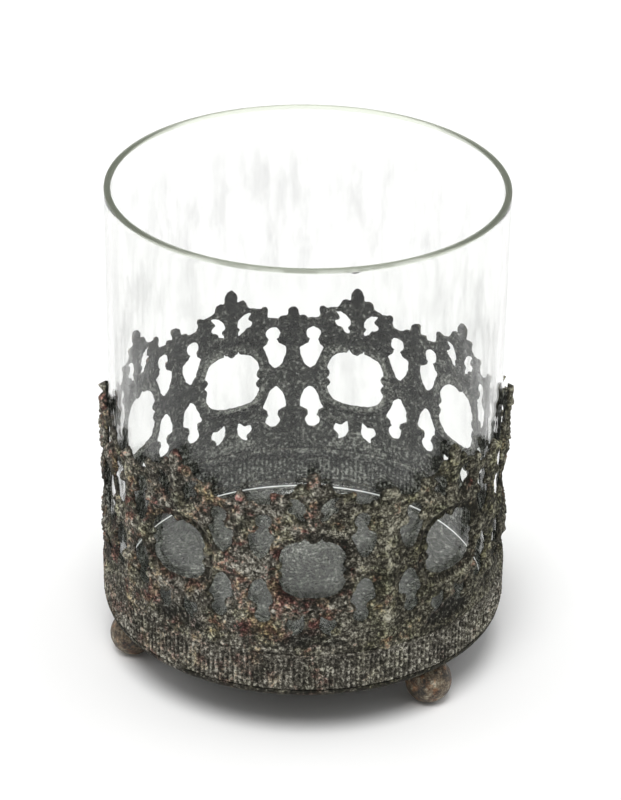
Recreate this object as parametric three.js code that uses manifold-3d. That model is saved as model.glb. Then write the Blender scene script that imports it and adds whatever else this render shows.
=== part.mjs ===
// Pillar candle holder: a loose glass cylinder standing in a pressed metal cup.
// The cup is a shallow pan on three ball feet, with a ribbed band round its foot
// and an openwork lace band with a crown edge above it.
// Millimetres, +Z up. The origin is on the cup's axis, on the ground.
// Angles run round the axis from the front (-Y) towards the right (+X).

import * as THREE from 'three';
import { mergeVertices } from 'three/addons/utils/BufferGeometryUtils.js';
import Module from 'manifold-3d';

const wasm = await Module();
wasm.setup();

// ---------------------------------------------------------------- driving dimensions

const FIT_GAP = 0.3;              // air left between pieces that touch
const SEGMENTS = 60;              // facets round the axis

const BALL_RADIUS = 7.25;
const BALL_FLAT_RADIUS = 1.6;     // worn flat that stands on the table
const BALL_CIRCLE_RADIUS = 54.8;  // ball centres, from the axis
const FIRST_FOOT_ANGLE = 45;
const FOOT_COUNT = 3;
const WELD_TOP_RADIUS = 4.2;
const WELD_FOOT_RADIUS = 3.3;

const PAN_UNDERSIDE = 15.35;
const PAN_THICKNESS = 1.15;
const PAN_RADIUS = 62.4;
const PAN_HEEL_RADIUS = 2.5;
const PAN_FLANGE_TOP = 21.0;
const PAN_FLANGE_OUTER = 61.3;
const PAN_FLANGE_INNER = 60.4;

const GLASS_RADIUS = 60.0;
const GLASS_WALL = 2.0;
const GLASS_BOTTOM = PAN_UNDERSIDE + PAN_THICKNESS + FIT_GAP;
const GLASS_FLOOR = GLASS_BOTTOM + 3.5;
const GLASS_RIM = GLASS_FLOOR + 135.1;
const GLASS_HEEL_RADIUS = 3.0;
const GLASS_INNER_CORNER = 1.5;
const GLASS_PUNT = 0.6;           // hollow under the middle of the glass

const RIBBED_OUTER = 62.6;
const RIBBED_INNER = 61.6;
const RIBBED_BOTTOM = PAN_UNDERSIDE + PAN_HEEL_RADIUS + 0.5;
const LAP_INNER = 60.6;           // top of the ribbed band, set in behind the lace
const LAP_OUTER = 61.4;
const LAP_HEIGHT = 2.0;

const LACE_INNER = 61.7;
const LACE_OUTER = 62.6;
const LACE_BOTTOM = GLASS_FLOOR + 10.3;
const LACE_WAIST = GLASS_FLOOR + 38.85; // height of the middle of the ovals
const CROWN_TOP = 34;                   // clear of the tallest finial, above the waist
const MOTIF_COUNT = 9;
const MOTIF_PITCH = 39.7;               // degrees; less than a ninth of a turn,
const FIRST_MOTIF_ANGLE = 45.0;         // so the seam column is the wider one
const SEAM_ANGLE = FIRST_MOTIF_ANGLE - (360 - (MOTIF_COUNT - 1) * MOTIF_PITCH) / 2;
const SEAM_WIDENING = 1.15;
const SEAM_LAP_WIDTH = 5.0;
const SEAM_LAP_THICKNESS = 0.7;
const SEAM_LAP_TOP = 16;                // above the waist

// ---------------------------------------------------------------- finishes

const rustyIron = () => new THREE.MeshStandardMaterial({ color: 0x4a4540, roughness: 0.9, metalness: 0.35 });
const greyPaint = () => new THREE.MeshStandardMaterial({ color: 0x77776f, roughness: 0.92, metalness: 0.1 });
const brownBall = () => new THREE.MeshStandardMaterial({ color: 0x6a5640, roughness: 0.75, metalness: 0.45 });
const weldMetal = () => new THREE.MeshStandardMaterial({ color: 0x3a3632, roughness: 0.85, metalness: 0.5 });
const clearGlass = () => new THREE.MeshStandardMaterial({
  color: 0xdfe8e2,
  roughness: 0.05,
  metalness: 0,
  transparent: true,
  opacity: 0.35,
});

// ---------------------------------------------------------------- helpers

const radians = (degrees) => (degrees * Math.PI) / 180;

// Points of an arc, both ends included. Angles in degrees, anticlockwise from +x.
function arc(centreX, centreY, radius, from, to, steps) {
  const points = [];
  for (let i = 0; i <= steps; i += 1) {
    const angle = radians(from + ((to - from) * i) / steps);
    points.push([centreX + radius * Math.cos(angle), centreY + radius * Math.sin(angle)]);
  }
  return points;
}

// Joins equal vertices and drops the triangles that collapse, so the body is closed.
function weld(geometry) {
  const bare = geometry.clone();
  bare.deleteAttribute('normal');
  bare.deleteAttribute('uv');
  const merged = mergeVertices(bare, 1e-4);
  const index = merged.index.array;
  const kept = [];
  for (let i = 0; i < index.length; i += 3) {
    const [a, b, c] = [index[i], index[i + 1], index[i + 2]];
    if (a !== b && b !== c && c !== a) {
      kept.push(a, b, c);
    }
  }
  merged.setIndex(kept);
  return merged;
}

// A body turned about Z from a profile of [radius, height], taken anticlockwise.
function turned(profile, segments = SEGMENTS) {
  const points = profile.map(([radius, height]) => new THREE.Vector2(radius, height));
  const geometry = new THREE.LatheGeometry(points, segments);
  geometry.rotateX(Math.PI / 2);
  return weld(geometry);
}

function toSolid(geometry) {
  return new wasm.Manifold(new wasm.Mesh({
    numProp: 3,
    vertProperties: new Float32Array(geometry.attributes.position.array),
    triVerts: new Uint32Array(geometry.index.array),
  }));
}

function toGeometry(solid) {
  const mesh = solid.getMesh();
  const geometry = new THREE.BufferGeometry();
  geometry.setAttribute('position', new THREE.BufferAttribute(new Float32Array(mesh.vertProperties), 3));
  geometry.setIndex(new THREE.BufferAttribute(new Uint32Array(mesh.triVerts), 1));
  return geometry;
}

// A flat outline of [along, above the waist], pushed straight out through the wall at an angle.
function radialBlock(outline, angle, innerRadius, outerRadius) {
  const shape = new THREE.Shape(outline.map(([along, above]) => new THREE.Vector2(along, above)));
  const depth = outerRadius - innerRadius;
  const geometry = new THREE.ExtrudeGeometry(shape, { depth, bevelEnabled: false, steps: 1 });
  const turn = radians(angle);
  const alongAxis = new THREE.Vector3(Math.cos(turn), Math.sin(turn), 0);
  const outward = new THREE.Vector3(Math.sin(turn), -Math.cos(turn), 0);
  const place = new THREE.Matrix4().makeBasis(alongAxis, new THREE.Vector3(0, 0, 1), outward);
  place.setPosition(outward.clone().multiplyScalar(innerRadius).setZ(LACE_WAIST));
  geometry.applyMatrix4(place);
  return toSolid(weld(geometry));
}

const mirrored = (outline) => outline.map(([along, above]) => [-along, above]);
const upsideDown = (outline) => outline.map(([along, above]) => [along, -above]);
const widened = (outline, factor) => outline.map(([along, above]) => [along * factor, above]);

function piece(name, geometry, material) {
  const flat = geometry.toNonIndexed();
  flat.computeVertexNormals();
  const mesh = new THREE.Mesh(flat, material);
  mesh.name = name;
  return mesh;
}

// ---------------------------------------------------------------- glass

function glassCylinder() {
  const inner = GLASS_RADIUS - GLASS_WALL;
  const rim = GLASS_WALL / 2;
  const profile = [
    [0, GLASS_BOTTOM + GLASS_PUNT],
    [GLASS_RADIUS - GLASS_HEEL_RADIUS - 5, GLASS_BOTTOM + GLASS_PUNT],
    ...arc(GLASS_RADIUS - GLASS_HEEL_RADIUS, GLASS_BOTTOM + GLASS_HEEL_RADIUS, GLASS_HEEL_RADIUS, -90, 0, 4),
    ...arc(GLASS_RADIUS - rim, GLASS_RIM - rim, rim, 0, 180, 4),
    ...arc(inner - GLASS_INNER_CORNER, GLASS_FLOOR + GLASS_INNER_CORNER, GLASS_INNER_CORNER, 0, -90, 3),
    [0, GLASS_FLOOR],
  ];
  return piece('glass_cylinder', turned(profile), clearGlass());
}

// ---------------------------------------------------------------- pan and ribbed band

function basePan() {
  const floor = PAN_UNDERSIDE + PAN_THICKNESS;
  const shoulder = PAN_UNDERSIDE + PAN_HEEL_RADIUS + 0.2;
  const insideHeel = 1.4;
  const profile = [
    [0, PAN_UNDERSIDE],
    ...arc(PAN_RADIUS - PAN_HEEL_RADIUS, PAN_UNDERSIDE + PAN_HEEL_RADIUS, PAN_HEEL_RADIUS, -90, 0, 4),
    [PAN_RADIUS, shoulder],
    [PAN_FLANGE_OUTER, shoulder],
    [PAN_FLANGE_OUTER, PAN_FLANGE_TOP],
    [PAN_FLANGE_INNER, PAN_FLANGE_TOP],
    ...arc(PAN_FLANGE_INNER - insideHeel, floor + insideHeel, insideHeel, 0, -90, 3),
    [0, floor],
  ];
  return piece('base_pan', turned(profile), greyPaint());
}

function ribbedBand() {
  const shoulder = LACE_BOTTOM - FIT_GAP;
  const profile = [
    [RIBBED_INNER, RIBBED_BOTTOM],
    [RIBBED_OUTER, RIBBED_BOTTOM],
    [RIBBED_OUTER, shoulder],
    [LAP_OUTER, shoulder],
    [LAP_OUTER, shoulder + LAP_HEIGHT],
    [LAP_INNER, shoulder + LAP_HEIGHT],
    [LAP_INNER, shoulder - 1],
    [RIBBED_INNER, shoulder - 2],
    [RIBBED_INNER, RIBBED_BOTTOM],
  ];
  return piece('ribbed_band', turned(profile), rustyIron());
}

// ---------------------------------------------------------------- lace band
// Outlines are [along, above the waist]. Half outlines are mirrored across the motif's middle.

// The large oval: beads bite into it at both sides, and a pair of pointed notches
// frames a pendant at its top and at its bottom.
const OVAL = (() => {
  const quarter = [[8.8, 1.8], [10.2, 3.4], [8.4, 6.5], [5.2, 9.3], [3.3, 10.4], [2.4, 13.0], [1.4, 10.2]];
  const top = [...quarter, ...mirrored(quarter).reverse()];
  return [[9.9, 0], ...top, [-9.9, 0], ...upsideDown(top).reverse()];
})();

const UPPER_COMMA = [[2.4, 19.6], [2.5, 17.0], [6.0, 19.3], [7.2, 20.9], [6.5, 22.4], [7.4, 24.0], [3.9, 23.0]];

const LOWER_COMMA = [
  [2.4, -19.2], [3.3, -20.9], [6.7, -22.9], [7.3, -19.1], [6.6, -16.7], [4.6, -16.8], [2.7, -15.2],
];

// One opening beside the column between two motifs, measured from that column's middle:
// a round head, a neck, and a body that narrows to a point above the arm at the waist.
const KEYHOLE = [
  ...arc(6.8, 16.0, 2.55, -35, 215, 4),
  [5.0, 13.4], [2.2, 11.0], [3.3, 5.6], [5.9, 3.2], [8.2, 5.6], [10.2, 11.2], [8.6, 13.4],
];

// Everything above the crown edge over one motif, out past its corner knobs.
const SKY_OVER_MOTIF = (() => {
  const half = [
    [13.4, CROWN_TOP], [13.4, 25.9], [11.6, 25.9], [5.6, 27.4], [5.0, 28.9], [2.4, 29.4], [2.2, 31.9], [0.9, 33.2],
  ];
  return [...half, ...mirrored(half).reverse()];
})();

// The lower stretch of crown edge between two motifs, with its small finial.
const SKY_OVER_COLUMN = (() => {
  const half = [
    [9.6, CROWN_TOP], [9.6, 25.9], [8.9, 25.5], [8.7, 21.6], [4.4, 21.6], [2.1, 22.3], [1.9, 24.1], [0.8, 25.3],
  ];
  return [...half, ...mirrored(half).reverse()];
})();

function laceBand() {
  const wall = turned([
    [LACE_INNER, LACE_BOTTOM],
    [LACE_OUTER, LACE_BOTTOM],
    [LACE_OUTER, LACE_WAIST + CROWN_TOP - 0.5],
    [LACE_INNER, LACE_WAIST + CROWN_TOP - 0.5],
    [LACE_INNER, LACE_BOTTOM],
  ]);
  const inside = LACE_INNER - 3;
  const outside = LACE_OUTER + 3;
  let lace = toSolid(wall);
  const cut = (outline, angle) => {
    lace = lace.subtract(radialBlock(outline, angle, inside, outside));
  };
  for (let motif = 0; motif < MOTIF_COUNT; motif += 1) {
    const middle = FIRST_MOTIF_ANGLE + motif * MOTIF_PITCH;
    cut(OVAL, middle);
    cut(SKY_OVER_MOTIF, middle);
    for (const side of [-1, 1]) {
      const sided = (outline) => (side > 0 ? outline : mirrored(outline));
      const column = middle + (side * MOTIF_PITCH) / 2;
      cut(sided(UPPER_COMMA), middle);
      cut(sided(LOWER_COMMA), middle);
      cut(sided(mirrored(KEYHOLE)), column);
      cut(sided(mirrored(upsideDown(KEYHOLE))), column);
    }
    if (motif < MOTIF_COUNT - 1) {
      cut(SKY_OVER_COLUMN, middle + MOTIF_PITCH / 2);
    }
  }
  cut(widened(SKY_OVER_COLUMN, SEAM_WIDENING), SEAM_ANGLE);
  const lapHalf = SEAM_LAP_WIDTH / 2;
  const lapBottom = LACE_BOTTOM - LACE_WAIST;
  const lap = radialBlock(
    [[-lapHalf, lapBottom], [lapHalf, lapBottom], [lapHalf, SEAM_LAP_TOP], [-lapHalf, SEAM_LAP_TOP]],
    SEAM_ANGLE,
    (LACE_INNER + LACE_OUTER) / 2,
    LACE_OUTER + SEAM_LAP_THICKNESS,
  );
  return piece('lace_band', toGeometry(lace.add(lap)), rustyIron());
}

// ---------------------------------------------------------------- feet

const BALL_CENTRE = Math.sqrt(BALL_RADIUS ** 2 - BALL_FLAT_RADIUS ** 2);

function ballFoot(number) {
  const flatAngle = (Math.acos(BALL_FLAT_RADIUS / BALL_RADIUS) * 180) / Math.PI;
  const profile = [
    [0, 0],
    ...arc(0, BALL_CENTRE, BALL_RADIUS, -flatAngle, 90, 8).slice(0, -1),
    [0, BALL_CENTRE + BALL_RADIUS],
  ];
  return piece(`ball_foot_${number}`, turned(profile, 24), brownBall());
}

function footWeld(number) {
  const seat = BALL_RADIUS + FIT_GAP;
  const edge = (Math.acos(WELD_FOOT_RADIUS / seat) * 180) / Math.PI;
  const top = PAN_UNDERSIDE - FIT_GAP;
  const profile = [
    [0, BALL_CENTRE + seat],
    ...arc(0, BALL_CENTRE, seat, 90, edge, 4).slice(1),
    [WELD_TOP_RADIUS - 0.3, top - 0.5],
    [WELD_TOP_RADIUS, top],
    [0, top],
  ];
  return piece(`foot_weld_${number}`, turned(profile, 16), weldMetal());
}

// ---------------------------------------------------------------- assembly

const candleHolder = new THREE.Group();
candleHolder.add(glassCylinder(), laceBand(), ribbedBand(), basePan());

for (let i = 0; i < FOOT_COUNT; i += 1) {
  const turn = radians(FIRST_FOOT_ANGLE + (i * 360) / FOOT_COUNT);
  const foot = new THREE.Group();
  foot.position.set(BALL_CIRCLE_RADIUS * Math.sin(turn), -BALL_CIRCLE_RADIUS * Math.cos(turn), 0);
  foot.add(ballFoot(i + 1), footWeld(i + 1));
  candleHolder.add(foot);
}

export default candleHolder;
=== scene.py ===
import math

import bpy
import numpy as np
from mathutils import Matrix, Vector, noise


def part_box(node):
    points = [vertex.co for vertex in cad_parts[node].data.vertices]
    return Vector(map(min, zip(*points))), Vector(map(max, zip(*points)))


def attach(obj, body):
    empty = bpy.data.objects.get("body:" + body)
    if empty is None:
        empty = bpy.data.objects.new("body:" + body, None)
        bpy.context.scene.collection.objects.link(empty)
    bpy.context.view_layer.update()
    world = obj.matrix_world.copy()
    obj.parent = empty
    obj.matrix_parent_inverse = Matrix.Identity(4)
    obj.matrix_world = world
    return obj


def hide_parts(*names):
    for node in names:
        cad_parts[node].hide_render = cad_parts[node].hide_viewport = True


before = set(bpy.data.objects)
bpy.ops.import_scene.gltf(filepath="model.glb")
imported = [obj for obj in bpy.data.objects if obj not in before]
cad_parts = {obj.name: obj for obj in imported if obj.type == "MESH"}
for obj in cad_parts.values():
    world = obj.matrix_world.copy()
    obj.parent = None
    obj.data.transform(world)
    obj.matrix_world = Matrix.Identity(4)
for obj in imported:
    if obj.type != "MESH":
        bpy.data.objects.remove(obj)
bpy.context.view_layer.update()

MM = 0.001

# ------------------------------------------------------------------ sizes, in millimetres
# Heights and radii come from the frame, and the sizes that it doesn't give are named here.


def low_mm(node):
    return [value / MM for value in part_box(node)[0]]


def high_mm(node):
    return [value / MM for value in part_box(node)[1]]


LACE_FOOT = low_mm("lace_band")[2]
LACE_CROWN = high_mm("lace_band")[2]
BAND_FOOT = low_mm("ribbed_band")[2]
BAND_TOP = high_mm("ribbed_band")[2]
BAND_OUTER = high_mm("ribbed_band")[0]
PAN_UNDERSIDE = low_mm("base_pan")[2]
PAN_TOP = high_mm("base_pan")[2]
PAN_RADIUS = high_mm("base_pan")[0]
GLASS_FOOT = low_mm("glass_cylinder")[2]
GLASS_RIM = high_mm("glass_cylinder")[2]
GLASS_RADIUS = high_mm("glass_cylinder")[0]

MOTIF_COUNT = 9
MOTIF_PITCH = 39.7            # degrees
FIRST_MOTIF = 45.0            # degrees round from the front, towards the right
WALL_RADIUS = 62.0            # the radius that the flat patterns are rolled to
HALF_PITCH = math.radians(MOTIF_PITCH / 2) * WALL_RADIUS
SEAM_GAP = math.radians(360 - MOTIF_COUNT * MOTIF_PITCH) * WALL_RADIUS
WAIST = LACE_FOOT + 28.55     # height of the middle of the ovals
LACE_THICKNESS = 0.85
MOTIF_COLUMNS, SEAM_COLUMNS = 74, 10
ROW_STEP = 2 * HALF_PITCH / MOTIF_COLUMNS     # how finely the pattern is meshed
MERGE_REACH = 0.02 * MM       # points nearer than this become one

RIB_COUNT = 252
RIB_COLUMNS, RIB_ROWS = 7, 13
RIB_DEPTH_OUTSIDE, RIB_DEPTH_INSIDE = 0.27, 0.09
FOOT_COUNT = 3
BALL_DENT, BALL_INSET = 0.13, 0.06
WELD_LOBES, WELD_SWELL = 7, 0.05

PAN_SHEET = 1.15              # thickness of the pan's floor
PAN_HEEL = 2.5                # radius of its rounded heel
GLASS_WALL, GLASS_HEEL, GLASS_CORNER = 2.0, 3.0, 1.5
GLASS_FLOOR = GLASS_FOOT + 3.5
TURNED_SIDES = 240            # points round a wide turned piece


# ------------------------------------------------------------------ node graphs


class Wire:
    """A number or vector socket that can be written into sums."""

    def __init__(self, graph, socket):
        self.graph = graph
        self.socket = socket

    def _math(self, operation, first, second):
        return self.graph.add("ShaderNodeMath", {"operation": operation}, {0: first, 1: second})

    def __add__(self, other):
        return self._math("ADD", self, other)

    __radd__ = __add__

    def __sub__(self, other):
        return self._math("SUBTRACT", self, other)

    def __rsub__(self, other):
        return self._math("SUBTRACT", other, self)

    def __mul__(self, other):
        return self._math("MULTIPLY", self, other)

    __rmul__ = __mul__

    def __truediv__(self, other):
        return self._math("DIVIDE", self, other)

    def __rtruediv__(self, other):
        return self._math("DIVIDE", other, self)

    def __pow__(self, other):
        return self._math("POWER", self, other)

    def at_most(self, other):
        return self._math("MINIMUM", self, other)

    def sine(self):
        return self._math("SINE", self, 0.0)

    def cosine(self):
        return self._math("COSINE", self, 0.0)

    def between(self, low, high):
        """0 up to low, 1 from high on, and a smooth rise between them."""
        sockets = {"Value": self, "From Min": low, "From Max": high}
        return self.graph.add("ShaderNodeMapRange", {"interpolation_type": "SMOOTHSTEP"}, sockets)


class Graph:
    """Adds nodes to a shader or geometry tree."""

    def __init__(self, tree):
        self.tree = tree
        tree.nodes.clear()

    def add(self, kind, settings=None, sockets=None, out=0):
        node = self.tree.nodes.new(kind)
        for name, value in (settings or {}).items():
            setattr(node, name, value)
        for name, value in (sockets or {}).items():
            self.feed(node.inputs[name], value)
        if out is None:
            return node
        return Wire(self, node.outputs[out])

    def feed(self, socket, value):
        if isinstance(value, Wire):
            self.tree.links.new(value.socket, socket)
        else:
            socket.default_value = value

    def blend(self, amount, first, second):
        """first where amount is 0 and second where it is 1, for colours."""
        # a Mix node's colour sockets are its inputs 6 and 7 and its output 2
        return self.add("ShaderNodeMix", {"data_type": "RGBA"}, {0: amount, 6: first, 7: second}, out=2)

    def times(self, first, amount, tint):
        """A colour multiplied by a tint, as far as amount says."""
        settings = {"data_type": "RGBA", "blend_type": "MULTIPLY", "clamp_result": False}
        return self.add("ShaderNodeMix", settings, {0: amount, 6: first, 7: tint}, out=2)

    def ramp(self, value, stops):
        """A colour ramp; stops are (position, colour)."""
        node = self.add("ShaderNodeValToRGB", None, {"Fac": value}, out=None)
        band = node.color_ramp
        while len(band.elements) < len(stops):
            band.elements.new(0.5)
        for element, (position, colour) in zip(band.elements, stops):
            element.position = position
            element.color = colour
        return Wire(self, node.outputs["Color"])

    def grain(self, where, size_mm, detail=2.0, roughness=0.5, seed=0.0):
        """Noise whose blobs are about size_mm across."""
        sockets = {
            "Vector": where,
            "W": seed,
            "Scale": 1.0 / (size_mm * MM),
            "Detail": detail,
            "Roughness": roughness,
        }
        return self.add("ShaderNodeTexNoise", {"noise_dimensions": "4D"}, sockets)

    def axes(self, where):
        """The three numbers of a place."""
        node = self.add("ShaderNodeSeparateXYZ", None, {"Vector": where}, out=None)
        return [Wire(self, node.outputs[axis]) for axis in range(3)]


def rgb(red, green, blue):
    return (red, green, blue, 1.0)


def new_material(name):
    material = bpy.data.materials.new(name)
    material.use_nodes = True
    return material, Graph(material.node_tree)


def surface(graph, sockets, constants):
    """A Principled surface: sockets may vary over it, constants are plain values."""
    shader = graph.add("ShaderNodeBsdfPrincipled", None, {**constants, **sockets})
    graph.add("ShaderNodeOutputMaterial", None, {"Surface": shader}, out=None)
    return shader


def bump(graph, height, depth_mm, strength):
    sockets = {"Height": height, "Distance": depth_mm * MM, "Strength": strength}
    return graph.add("ShaderNodeBump", None, sockets)


# ------------------------------------------------------------------ finishes


def brushed_patina(name, cream=0.0, rust=1.0, moss=1.0, right_side_painted_shade=1.0, inside=None):
    """Gritty black-brown paint, dry-brushed with cream, with rust, ochre and moss-green washes.

    cream shifts how much of the pale brushing there is. The smoother grey-green of the inner faces
    comes in where the attribute 'inner' is 1, or where inside is given."""
    material, graph = new_material(name)
    place = graph.add("ShaderNodeTexCoord", out="Object")
    raised = graph.add("ShaderNodeAttribute", {"attribute_name": "raised"}, out="Fac")
    if inside is None:
        inside = graph.add("ShaderNodeAttribute", {"attribute_name": "inner"}, out="Fac")
    else:
        inside = inside(graph, place)

    broad = graph.grain(place, 15, detail=3, roughness=0.55, seed=1.0)
    dab = graph.grain(place, 1.25, detail=3, roughness=0.62, seed=2.0)
    grit = graph.grain(place, 0.55, detail=2, roughness=0.6, seed=3.0)
    patch = graph.grain(place, 5, detail=3, roughness=0.6, seed=4.0)

    # how pale each dab of paint is, from near-black in the hollows to cream on the high parts: partly the
    # dry-brushed finish, partly painted shade in the hollows
    tone = dab * 0.72 + grit * 0.42 + patch * 0.20 + broad * 0.20
    tone = tone + (raised - 0.35) * 0.08 + (cream - 0.249)
    paint = graph.ramp(tone, [
        (0.40, rgb(0.010, 0.0095, 0.007)),
        (0.48, rgb(0.034, 0.031, 0.024)),
        (0.54, rgb(0.078, 0.072, 0.060)),
        (0.60, rgb(0.185, 0.175, 0.145)),
        (0.67, rgb(0.44, 0.425, 0.365)),
        (0.78, rgb(0.66, 0.64, 0.58)),
    ])
    side, _, height = graph.axes(place)
    # the object's right side, which gets less rust and the painted shade below
    rightward = side.between(-5 * MM, 30 * MM)
    rust_place = graph.grain(place, 8, detail=4, roughness=0.7, seed=6.0)
    rust_place = (rust_place * 0.75 + dab * 0.25 - rightward * 0.06).between(0.50, 0.58)
    moss_place = graph.grain(place, 9, detail=4, roughness=0.7, seed=8.0)
    moss_place = (moss_place * 0.75 + grit * 0.25).between(0.48, 0.60)
    rust_tint = graph.ramp(patch, [
        (0.40, rgb(0.88, 0.36, 0.38)),
        (0.50, rgb(1.00, 0.60, 0.54)),
        (0.60, rgb(1.10, 0.92, 0.68)),
    ])
    moss_tint = graph.ramp(patch, [(0.38, rgb(0.90, 0.98, 0.84)), (0.64, rgb(1.12, 1.10, 0.78))])
    tinted = graph.times(paint, rust_place * rust, rust_tint)
    tinted = graph.times(tinted, moss_place * moss, moss_tint)
    # painted shade: darkens the paint towards the object's right side, as if that side were turned from the
    # light; right_side_painted_shade says how much
    tinted = graph.times(tinted, rightward * right_side_painted_shade, rgb(0.66, 0.66, 0.59))

    # the smoother paint inside, a little darker towards the crown
    darker = height.between(LACE_FOOT * MM, (LACE_FOOT + 45.0) * MM)
    smooth_tone = dab * 0.56 + grit * 0.36 + broad * 0.13
    # painted shade and highlight: the raised term darkens the inner hollows and lightens the inner ridges
    smooth_tone = smooth_tone + (raised - 0.3) * 0.10 - darker * 0.022 - 0.044
    smooth_paint = graph.ramp(smooth_tone, [
        (0.40, rgb(0.005, 0.005, 0.004)),
        (0.45, rgb(0.022, 0.022, 0.018)),
        (0.49, rgb(0.070, 0.0705, 0.061)),
        (0.53, rgb(0.200, 0.201, 0.180)),
        (0.59, rgb(0.420, 0.422, 0.385)),
    ])
    colour = graph.blend(inside, tinted, smooth_paint)

    relief = dab * 0.65 + grit * 0.35
    strength = 1.0 - inside * 0.75
    normal = bump(graph, relief * strength, 0.5, strength=0.9)
    sockets = {"Base Color": colour, "Roughness": (grit * 0.3 + 0.68).at_most(1.0), "Normal": normal}
    surface(graph, sockets, {"Metallic": 0.0, "Specular IOR Level": 0.18})
    return material


def inside_pan(graph, place):
    """1 over the pan's floor and 0 over its outside, for the pan's paint."""
    x, y, z = graph.axes(place)
    reach = (x * x + y * y) ** 0.5
    floor = z.between((PAN_UNDERSIDE + 0.5) * MM, (PAN_UNDERSIDE + 0.9) * MM)
    return floor * (1.0 - reach.between((PAN_RADIUS - 2.2) * MM, (PAN_RADIUS - 1.6) * MM))


def ball_finish(name):
    """Brown rust wash over a painted ball, sooty in places and rubbed through to tan in others."""
    material, graph = new_material(name)
    place = graph.add("ShaderNodeTexCoord", out="Object")
    wash = graph.grain(place, 4.2, detail=4, roughness=0.62, seed=21.0)
    rub = graph.grain(place, 1.5, detail=3, roughness=0.65, seed=22.0)
    speck = graph.grain(place, 0.6, detail=2, roughness=0.6, seed=23.0)
    colour = graph.ramp(wash * 0.4 + rub * 0.35 + speck * 0.25, [
        (0.41, rgb(0.010, 0.009, 0.007)),
        (0.46, rgb(0.045, 0.036, 0.025)),
        (0.51, rgb(0.120, 0.085, 0.052)),
        (0.56, rgb(0.210, 0.180, 0.125)),
        (0.64, rgb(0.520, 0.480, 0.380)),
    ])
    rusty = graph.grain(place, 3.2, detail=3, roughness=0.6, seed=24.0).between(0.52, 0.62)
    colour = graph.times(colour, rusty, rgb(1.20, 0.80, 0.60))
    normal = bump(graph, rub * 0.6 + speck * 0.4, 0.35, strength=0.7)
    sockets = {"Base Color": colour, "Roughness": wash * 0.4 + 0.34, "Normal": normal}
    surface(graph, sockets, {"Metallic": 0.15, "Specular IOR Level": 0.5})
    return material


def weld_finish(name):
    """Dark painted weld, with heat-brown streaks."""
    material, graph = new_material(name)
    place = graph.add("ShaderNodeTexCoord", out="Object")
    mottle = graph.grain(place, 1.2, detail=3, roughness=0.6, seed=31.0)
    colour = graph.ramp(mottle, [(0.35, rgb(0.016, 0.014, 0.012)), (0.65, rgb(0.085, 0.062, 0.045))])
    normal = bump(graph, mottle, 0.25, strength=0.7)
    sockets = {"Base Color": colour, "Roughness": mottle * 0.3 + 0.5, "Normal": normal}
    surface(graph, sockets, {"Metallic": 0.3})
    return material


def clear_glass(name):
    """Clear glass that lamps shine through, darker in patches above the lace (partly smudges, partly a
    painted reflection of the lace), with a grey-green rim that glows faintly with painted light.
    """
    material, graph = new_material(name)
    place = graph.add("ShaderNodeTexCoord", out="Object")
    _, _, height = graph.axes(place)
    rim = height.between((GLASS_RIM - 1.5) * MM, (GLASS_RIM - 0.8) * MM)
    stretch = (1.0, 1.0, 0.25)     # the smudges and painted reflection run down the wall
    tall = graph.add("ShaderNodeVectorMath", {"operation": "MULTIPLY"}, {0: place, 1: stretch})
    smudge_and_painted_reflection = graph.grain(tall, 7.0, detail=4, roughness=0.68, seed=43.0).between(0.42, 0.68)
    smudge_and_painted_reflection = smudge_and_painted_reflection * height.between((LACE_CROWN - 8.0) * MM, (LACE_CROWN + 8.0) * MM)
    smudge_and_painted_reflection = smudge_and_painted_reflection * (1.0 - height.between((GLASS_RIM - 20.0) * MM, (GLASS_RIM - 6.0) * MM))
    # smudges and painted reflection: the glass is darker in patches above the lace, partly smudges and partly
    # a painted reflection of the lace
    colour = graph.blend(smudge_and_painted_reflection, rgb(0.972, 0.977, 0.969), rgb(0.80, 0.805, 0.80))
    colour = graph.blend(rim, colour, rgb(0.50, 0.535, 0.44))
    floor = 1.0 - height.between((GLASS_FOOT + 3.7) * MM, (GLASS_FOOT + 4.6) * MM)
    wave = graph.grain(place, 24, detail=1, roughness=0.4, seed=41.0)
    normal = bump(graph, wave, 0.15, strength=0.25)
    constants = {"Metallic": 0.0, "IOR": 1.37, "Emission Strength": 1.0, "Transmission Weight": 1.0}
    sockets = {
        "Base Color": colour,
        "Roughness": rim * 0.45 + floor * 0.15,
        "Alpha": 1.0 - rim * 0.2,
        "Normal": normal,
        # painted light: the rim glows faintly grey-green, standing in for the light that the rim gathers
        "Emission Color": graph.blend(rim, rgb(0.0, 0.0, 0.0), rgb(0.15, 0.165, 0.125)),
    }
    glass = graph.add("ShaderNodeBsdfPrincipled", None, {**constants, **sockets})
    lamp_ray = graph.add("ShaderNodeLightPath", out="Is Shadow Ray")
    through = graph.add("ShaderNodeBsdfTransparent", None, {"Color": rgb(0.93, 0.95, 0.935)})
    mixed = graph.add("ShaderNodeMixShader", None, {0: lamp_ray, 1: glass, 2: through})
    graph.add("ShaderNodeOutputMaterial", None, {"Surface": mixed}, out=None)
    return material


def painted_highlight_white(name):
    """Milky white, for the painted highlight ring in the glass's inner corner."""
    material, graph = new_material(name)
    place = graph.add("ShaderNodeTexCoord", out="Object")
    cloud = graph.grain(place, 6, detail=2, roughness=0.5, seed=51.0)
    colour = graph.ramp(cloud, [(0.35, rgb(0.80, 0.82, 0.80)), (0.6, rgb(0.97, 0.98, 0.97))])
    surface(graph, {"Base Color": colour, "Roughness": cloud * 0.3 + 0.1}, {"Specular IOR Level": 0.6})
    return material


def floor_paper(name):
    """The plain pale paper that the holder stands on."""
    material, graph = new_material(name)
    surface(graph, {}, {"Base Color": rgb(0.91, 0.91, 0.905), "Roughness": 0.9})
    return material


# ------------------------------------------------------------------ mesh helpers


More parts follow.
